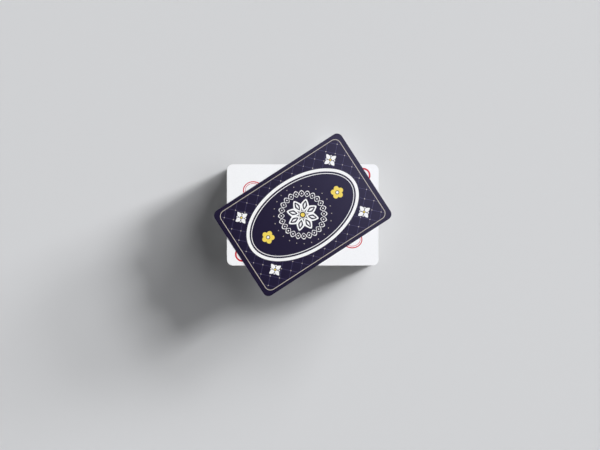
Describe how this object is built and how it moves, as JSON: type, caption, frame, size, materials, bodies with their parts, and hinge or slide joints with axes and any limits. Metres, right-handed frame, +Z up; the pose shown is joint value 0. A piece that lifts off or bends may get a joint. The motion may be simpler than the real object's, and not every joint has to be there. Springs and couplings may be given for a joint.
{
  "type": "playing card deck",
  "caption": "Pack of playing cards squared up face up, its top card turned over and swivelled on it; every card draws out of the pack by itself.",
  "frame": {"origin": "middle of the pack's footprint, on the surface that it lies on", "axes": "+X along the long side of the squared cards, +Y along their short side, +Z up"},
  "size_m": [0.1054, 0.0966, 0.0173],
  "materials": {
    "card_face": "satin",
    "card_back": "satin"
  },
  "bodies": {
    "queen_of_diamonds": {"queen_of_diamonds": "card_face"},
    "eight_of_hearts": {"eight_of_hearts": "card_face"},
    "four_of_spades": {"four_of_spades": "card_face"},
    "two_of_clubs": {"two_of_clubs": "card_face"},
    "jack_of_hearts": {"jack_of_hearts": "card_face"},
    "seven_of_spades": {"seven_of_spades": "card_face"},
    "five_of_clubs": {"five_of_clubs": "card_face"},
    "ace_of_diamonds": {"ace_of_diamonds": "card_face"},
    "ten_of_spades": {"ten_of_spades": "card_face"},
    "eight_of_clubs": {"eight_of_clubs": "card_face"},
    "four_of_diamonds": {"four_of_diamonds": "card_face"},
    "king_of_spades": {"king_of_spades": "card_face"},
    "jack_of_clubs": {"jack_of_clubs": "card_face"},
    "seven_of_diamonds": {"seven_of_diamonds": "card_face"},
    "three_of_hearts": {"three_of_hearts": "card_face"},
    "red_joker": {"red_joker": "card_face"},
    "ten_of_diamonds": {"ten_of_diamonds": "card_face"},
    "six_of_hearts": {"six_of_hearts": "card_face"},
    "two_of_spades": {"two_of_spades": "card_face"},
    "king_of_diamonds": {"king_of_diamonds": "card_face"},
    "nine_of_hearts": {"nine_of_hearts": "card_face"},
    "five_of_spades": {"five_of_spades": "card_face"},
    "three_of_clubs": {"three_of_clubs": "card_face"},
    "queen_of_hearts": {"queen_of_hearts": "card_face"},
    "eight_of_spades": {"eight_of_spades": "card_face"},
    "six_of_clubs": {"six_of_clubs": "card_face"},
    "two_of_diamonds": {"two_of_diamonds": "card_face"},
    "jack_of_spades": {"jack_of_spades": "card_face"},
    "nine_of_clubs": {"nine_of_clubs": "card_face"},
    "five_of_diamonds": {"five_of_diamonds": "card_face"},
    "ace_of_hearts": {"ace_of_hearts": "card_face"},
    "queen_of_clubs": {"queen_of_clubs": "card_face"},
    "eight_of_diamonds": {"eight_of_diamonds": "card_face"},
    "four_of_hearts": {"four_of_hearts": "card_face"},
    "black_joker": {"black_joker": "card_face"},
    "jack_of_diamonds": {"jack_of_diamonds": "card_face"},
    "seven_of_hearts": {"seven_of_hearts": "card_face"},
    "three_of_spades": {"three_of_spades": "card_face"},
    "ace_of_clubs": {"ace_of_clubs": "card_face"},
    "ten_of_hearts": {"ten_of_hearts": "card_face"},
    "six_of_spades": {"six_of_spades": "card_face"},
    "four_of_clubs": {"four_of_clubs": "card_face"},
    "king_of_hearts": {"king_of_hearts": "card_face"},
    "nine_of_spades": {"nine_of_spades": "card_face"},
    "seven_of_clubs": {"seven_of_clubs": "card_face"},
    "three_of_diamonds": {"three_of_diamonds": "card_face"},
    "queen_of_spades": {"queen_of_spades": "card_face"},
    "ten_of_clubs": {"ten_of_clubs": "card_face"},
    "six_of_diamonds": {"six_of_diamonds": "card_face"},
    "two_of_hearts": {"two_of_hearts": "card_face"},
    "king_of_clubs": {"king_of_clubs": "card_face"},
    "nine_of_diamonds": {"nine_of_diamonds": "card_face"},
    "five_of_hearts": {"five_of_hearts": "card_face"},
    "ace_of_spades": {"ace_of_spades": "card_back"}
  },
  "joints": [
    {"name": "ace_of_spades_turn", "type": "hinge", "parent": "five_of_hearts", "child": "ace_of_spades", "pos_m": [0, 0, 0.01726], "axis": [0, 0, 1], "continuous": true},
    {"name": "five_of_hearts_draw", "type": "slide", "parent": "queen_of_diamonds", "child": "five_of_hearts", "axis": [0, 1, 0], "range_m": [-0.062, 0.062]},
    {"name": "nine_of_diamonds_draw", "type": "slide", "parent": "queen_of_diamonds", "child": "nine_of_diamonds", "axis": [0, 1, 0], "range_m": [-0.062, 0.062]},
    {"name": "king_of_clubs_draw", "type": "slide", "parent": "queen_of_diamonds", "child": "king_of_clubs", "axis": [0, 1, 0], "range_m": [-0.062, 0.062]},
    {"name": "two_of_hearts_draw", "type": "slide", "parent": "queen_of_diamonds", "child": "two_of_hearts", "axis": [0, 1, 0], "range_m": [-0.062, 0.062]},
    {"name": "six_of_diamonds_draw", "type": "slide", "parent": "queen_of_diamonds", "child": "six_of_diamonds", "axis": [0, 1, 0], "range_m": [-0.062, 0.062]},
    {"name": "ten_of_clubs_draw", "type": "slide", "parent": "queen_of_diamonds", "child": "ten_of_clubs", "axis": [0, 1, 0], "range_m": [-0.062, 0.062]},
    {"name": "queen_of_spades_draw", "type": "slide", "parent": "queen_of_diamonds", "child": "queen_of_spades", "axis": [0, 1, 0], "range_m": [-0.062, 0.062]},
    {"name": "three_of_diamonds_draw", "type": "slide", "parent": "queen_of_diamonds", "child": "three_of_diamonds", "axis": [0, 1, 0], "range_m": [-0.062, 0.062]},
    {"name": "seven_of_clubs_draw", "type": "slide", "parent": "queen_of_diamonds", "child": "seven_of_clubs", "axis": [0, 1, 0], "range_m": [-0.062, 0.062]},
    {"name": "nine_of_spades_draw", "type": "slide", "parent": "queen_of_diamonds", "child": "nine_of_spades", "axis": [0, 1, 0], "range_m": [-0.062, 0.062]},
    {"name": "king_of_hearts_draw", "type": "slide", "parent": "queen_of_diamonds", "child": "king_of_hearts", "axis": [0, 1, 0], "range_m": [-0.062, 0.062]},
    {"name": "four_of_clubs_draw", "type": "slide", "parent": "queen_of_diamonds", "child": "four_of_clubs", "axis": [0, 1, 0], "range_m": [-0.062, 0.062]},
    {"name": "six_of_spades_draw", "type": "slide", "parent": "queen_of_diamonds", "child": "six_of_spades", "axis": [0, 1, 0], "range_m": [-0.062, 0.062]},
    {"name": "ten_of_hearts_draw", "type": "slide", "parent": "queen_of_diamonds", "child": "ten_of_hearts", "axis": [0, 1, 0], "range_m": [-0.062, 0.062]},
    {"name": "ace_of_clubs_draw", "type": "slide", "parent": "queen_of_diamonds", "child": "ace_of_clubs", "axis": [0, 1, 0], "range_m": [-0.062, 0.062]},
    {"name": "three_of_spades_draw", "type": "slide", "parent": "queen_of_diamonds", "child": "three_of_spades", "axis": [0, 1, 0], "range_m": [-0.062, 0.062]},
    {"name": "seven_of_hearts_draw", "type": "slide", "parent": "queen_of_diamonds", "child": "seven_of_hearts", "axis": [0, 1, 0], "range_m": [-0.062, 0.062]},
    {"name": "jack_of_diamonds_draw", "type": "slide", "parent": "queen_of_diamonds", "child": "jack_of_diamonds", "axis": [0, 1, 0], "range_m": [-0.062, 0.062]},
    {"name": "black_joker_draw", "type": "slide", "parent": "queen_of_diamonds", "child": "black_joker", "axis": [0, 1, 0], "range_m": [-0.062, 0.062]},
    {"name": "four_of_hearts_draw", "type": "slide", "parent": "queen_of_diamonds", "child": "four_of_hearts", "axis": [0, 1, 0], "range_m": [-0.062, 0.062]},
    {"name": "eight_of_diamonds_draw", "type": "slide", "parent": "queen_of_diamonds", "child": "eight_of_diamonds", "axis": [0, 1, 0], "range_m": [-0.062, 0.062]},
    {"name": "queen_of_clubs_draw", "type": "slide", "parent": "queen_of_diamonds", "child": "queen_of_clubs", "axis": [0, 1, 0], "range_m": [-0.062, 0.062]},
    {"name": "ace_of_hearts_draw", "type": "slide", "parent": "queen_of_diamonds", "child": "ace_of_hearts", "axis": [0, 1, 0], "range_m": [-0.062, 0.062]},
    {"name": "five_of_diamonds_draw", "type": "slide", "parent": "queen_of_diamonds", "child": "five_of_diamonds", "axis": [0, 1, 0], "range_m": [-0.062, 0.062]},
    {"name": "nine_of_clubs_draw", "type": "slide", "parent": "queen_of_diamonds", "child": "nine_of_clubs", "axis": [0, 1, 0], "range_m": [-0.062, 0.062]},
    {"name": "jack_of_spades_draw", "type": "slide", "parent": "queen_of_diamonds", "child": "jack_of_spades", "axis": [0, 1, 0], "range_m": [-0.062, 0.062]},
    {"name": "two_of_diamonds_draw", "type": "slide", "parent": "queen_of_diamonds", "child": "two_of_diamonds", "axis": [0, 1, 0], "range_m": [-0.062, 0.062]},
    {"name": "six_of_clubs_draw", "type": "slide", "parent": "queen_of_diamonds", "child": "six_of_clubs", "axis": [0, 1, 0], "range_m": [-0.062, 0.062]},
    {"name": "eight_of_spades_draw", "type": "slide", "parent": "queen_of_diamonds", "child": "eight_of_spades", "axis": [0, 1, 0], "range_m": [-0.062, 0.062]},
    {"name": "queen_of_hearts_draw", "type": "slide", "parent": "queen_of_diamonds", "child": "queen_of_hearts", "axis": [0, 1, 0], "range_m": [-0.062, 0.062]},
    {"name": "three_of_clubs_draw", "type": "slide", "parent": "queen_of_diamonds", "child": "three_of_clubs", "axis": [0, 1, 0], "range_m": [-0.062, 0.062]},
    {"name": "five_of_spades_draw", "type": "slide", "parent": "queen_of_diamonds", "child": "five_of_spades", "axis": [0, 1, 0], "range_m": [-0.062, 0.062]},
    {"name": "nine_of_hearts_draw", "type": "slide", "parent": "queen_of_diamonds", "child": "nine_of_hearts", "axis": [0, 1, 0], "range_m": [-0.062, 0.062]},
    {"name": "king_of_diamonds_draw", "type": "slide", "parent": "queen_of_diamonds", "child": "king_of_diamonds", "axis": [0, 1, 0], "range_m": [-0.062, 0.062]},
    {"name": "two_of_spades_draw", "type": "slide", "parent": "queen_of_diamonds", "child": "two_of_spades", "axis": [0, 1, 0], "range_m": [-0.062, 0.062]},
    {"name": "six_of_hearts_draw", "type": "slide", "parent": "queen_of_diamonds", "child": "six_of_hearts", "axis": [0, 1, 0], "range_m": [-0.062, 0.062]},
    {"name": "ten_of_diamonds_draw", "type": "slide", "parent": "queen_of_diamonds", "child": "ten_of_diamonds", "axis": [0, 1, 0], "range_m": [-0.062, 0.062]},
    {"name": "red_joker_draw", "type": "slide", "parent": "queen_of_diamonds", "child": "red_joker", "axis": [0, 1, 0], "range_m": [-0.062, 0.062]},
    {"name": "three_of_hearts_draw", "type": "slide", "parent": "queen_of_diamonds", "child": "three_of_hearts", "axis": [0, 1, 0], "range_m": [-0.062, 0.062]},
    {"name": "seven_of_diamonds_draw", "type": "slide", "parent": "queen_of_diamonds", "child": "seven_of_diamonds", "axis": [0, 1, 0], "range_m": [-0.062, 0.062]},
    {"name": "jack_of_clubs_draw", "type": "slide", "parent": "queen_of_diamonds", "child": "jack_of_clubs", "axis": [0, 1, 0], "range_m": [-0.062, 0.062]},
    {"name": "king_of_spades_draw", "type": "slide", "parent": "queen_of_diamonds", "child": "king_of_spades", "axis": [0, 1, 0], "range_m": [-0.062, 0.062]},
    {"name": "four_of_diamonds_draw", "type": "slide", "parent": "queen_of_diamonds", "child": "four_of_diamonds", "axis": [0, 1, 0], "range_m": [-0.062, 0.062]},
    {"name": "eight_of_clubs_draw", "type": "slide", "parent": "queen_of_diamonds", "child": "eight_of_clubs", "axis": [0, 1, 0], "range_m": [-0.062, 0.062]},
    {"name": "ten_of_spades_draw", "type": "slide", "parent": "queen_of_diamonds", "child": "ten_of_spades", "axis": [0, 1, 0], "range_m": [-0.062, 0.062]},
    {"name": "ace_of_diamonds_draw", "type": "slide", "parent": "queen_of_diamonds", "child": "ace_of_diamonds", "axis": [0, 1, 0], "range_m": [-0.062, 0.062]},
    {"name": "five_of_clubs_draw", "type": "slide", "parent": "queen_of_diamonds", "child": "five_of_clubs", "axis": [0, 1, 0], "range_m": [-0.062, 0.062]},
    {"name": "seven_of_spades_draw", "type": "slide", "parent": "queen_of_diamonds", "child": "seven_of_spades", "axis": [0, 1, 0], "range_m": [-0.062, 0.062]},
    {"name": "jack_of_hearts_draw", "type": "slide", "parent": "queen_of_diamonds", "child": "jack_of_hearts", "axis": [0, 1, 0], "range_m": [-0.062, 0.062]},
    {"name": "two_of_clubs_draw", "type": "slide", "parent": "queen_of_diamonds", "child": "two_of_clubs", "axis": [0, 1, 0], "range_m": [-0.062, 0.062]},
    {"name": "four_of_spades_draw", "type": "slide", "parent": "queen_of_diamonds", "child": "four_of_spades", "axis": [0, 1, 0], "range_m": [-0.062, 0.062]},
    {"name": "eight_of_hearts_draw", "type": "slide", "parent": "queen_of_diamonds", "child": "eight_of_hearts", "axis": [0, 1, 0], "range_m": [-0.062, 0.062]}
  ]
}
